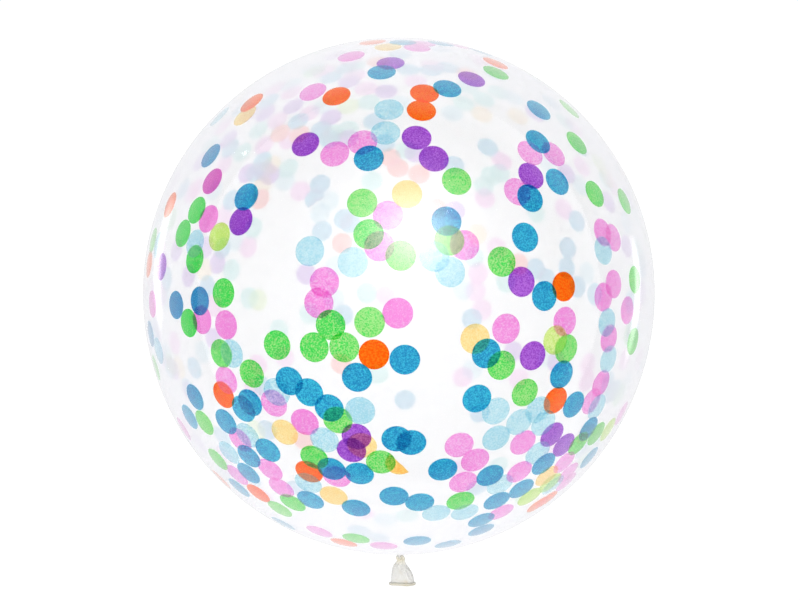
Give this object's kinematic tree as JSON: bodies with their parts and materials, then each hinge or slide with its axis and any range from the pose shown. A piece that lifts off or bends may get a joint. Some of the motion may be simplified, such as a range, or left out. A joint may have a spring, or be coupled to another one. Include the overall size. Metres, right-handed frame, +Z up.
{
  "type": "confetti balloon",
  "caption": "Large round clear latex balloon, tied with a knot, with tissue paper confetti discs clinging inside it, lying on its side.",
  "frame": {"origin": "centre of the small flat of skin that the balloon rests on, under the middle of its widest section", "axes": "+Z up out of the floor, +Y towards the crown, -Y towards the knot and tail"},
  "size_m": [1, 1.0819, 0.9964],
  "materials": {
    "clear_latex": "gloss",
    "blue_tissue": "matt",
    "light_blue_tissue": "matt",
    "green_tissue": "matt",
    "lime_tissue": "matt",
    "pink_tissue": "matt",
    "magenta_tissue": "matt",
    "purple_tissue": "matt",
    "orange_tissue": "matt",
    "peach_tissue": "matt"
  },
  "bodies": {
    "root": {"balloon": "clear_latex"}
  },
  "joints": []
}
